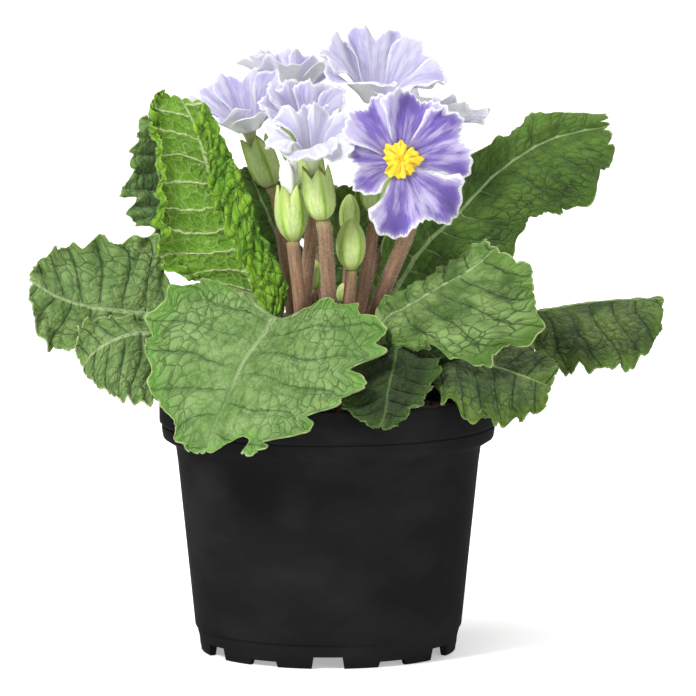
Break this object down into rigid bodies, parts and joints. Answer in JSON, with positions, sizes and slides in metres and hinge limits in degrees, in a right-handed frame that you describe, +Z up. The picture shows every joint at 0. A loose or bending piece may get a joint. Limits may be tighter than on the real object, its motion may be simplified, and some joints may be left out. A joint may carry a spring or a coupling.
{
  "type": "potted primrose",
  "caption": "Primrose with frilled lilac blooms, buds on short stems and a rosette of wrinkled leaves, growing in a round tapered nursery pot.",
  "frame": {"origin": "centre of the pot's underside, on the surface that the pot stands on", "axes": "+Z up along the pot's axis, -Y towards the side with the open bloom, +X to the right as seen from that side"},
  "size_m": [0.225, 0.1673, 0.2206],
  "materials": {
    "pot": "moulded black nursery plastic, low sheen",
    "soil": "dark damp peat compost",
    "rootstock": "rough brown rootstock under compost",
    "leaf": "wrinkled mid-green leaf with pale veins",
    "dark_leaf": "wrinkled dark green leaf with pale veins",
    "bright_leaf": "bright green underside with raised veins",
    "petal": "soft lilac petal with white frilled edge",
    "eye": "deep yellow folded eye",
    "calyx": "pale green ribbed calyx",
    "stem": "reddish brown stem with fine pale hairs",
    "bud_tip": "furled white petal"
  },
  "bodies": {
    "root": {"bloom_back_right_calyx": "calyx", "bloom_back_right_eye": "eye", "bloom_back_right_petals": "petal", "bloom_back_right_stem": "stem", "bloom_behind_calyx": "calyx", "bloom_behind_eye": "eye", "bloom_behind_petals": "petal", "bloom_behind_stem": "stem", "bloom_front_calyx": "calyx", "bloom_front_eye": "eye", "bloom_front_low_calyx": "calyx", "bloom_front_low_eye": "eye", "bloom_front_low_petals": "petal", "bloom_front_low_stem": "stem", "bloom_front_petals": "petal", "bloom_front_stem": "stem", "bloom_left_calyx": "calyx", "bloom_left_eye": "eye", "bloom_left_petals": "petal", "bloom_left_stem": "stem", "bloom_middle_calyx": "calyx", "bloom_middle_eye": "eye", "bloom_middle_petals": "petal", "bloom_middle_stem": "stem", "bloom_top_right_calyx": "calyx", "bloom_top_right_eye": "eye", "bloom_top_right_petals": "petal", "bloom_top_right_stem": "stem", "bud_dark_calyx": "calyx", "bud_dark_stem": "stem", "bud_front_calyx": "calyx", "bud_front_stem": "stem", "bud_front_tip": "bud_tip", "bud_middle_calyx": "calyx", "bud_middle_stem": "stem", "bud_small_calyx": "calyx", "bud_small_stem": "stem", "bud_tiny_calyx": "calyx", "bud_tiny_stem": "stem", "leaf_back_centre": "dark_leaf", "leaf_back_left_up": "dark_leaf", "leaf_back_low": "leaf", "leaf_back_low_left": "leaf", "leaf_back_low_right": "leaf", "leaf_behind_stems": "dark_leaf", "leaf_bright_left": "bright_leaf", "leaf_front_left": "leaf", "leaf_front_low": "dark_leaf", "leaf_left": "leaf", "leaf_left_low": "leaf", "leaf_right": "dark_leaf", "leaf_right_front": "leaf", "leaf_right_low": "leaf", "leaf_right_up": "dark_leaf", "pot": "pot", "rootstock": "rootstock", "soil": "soil"}
  },
  "joints": []
}
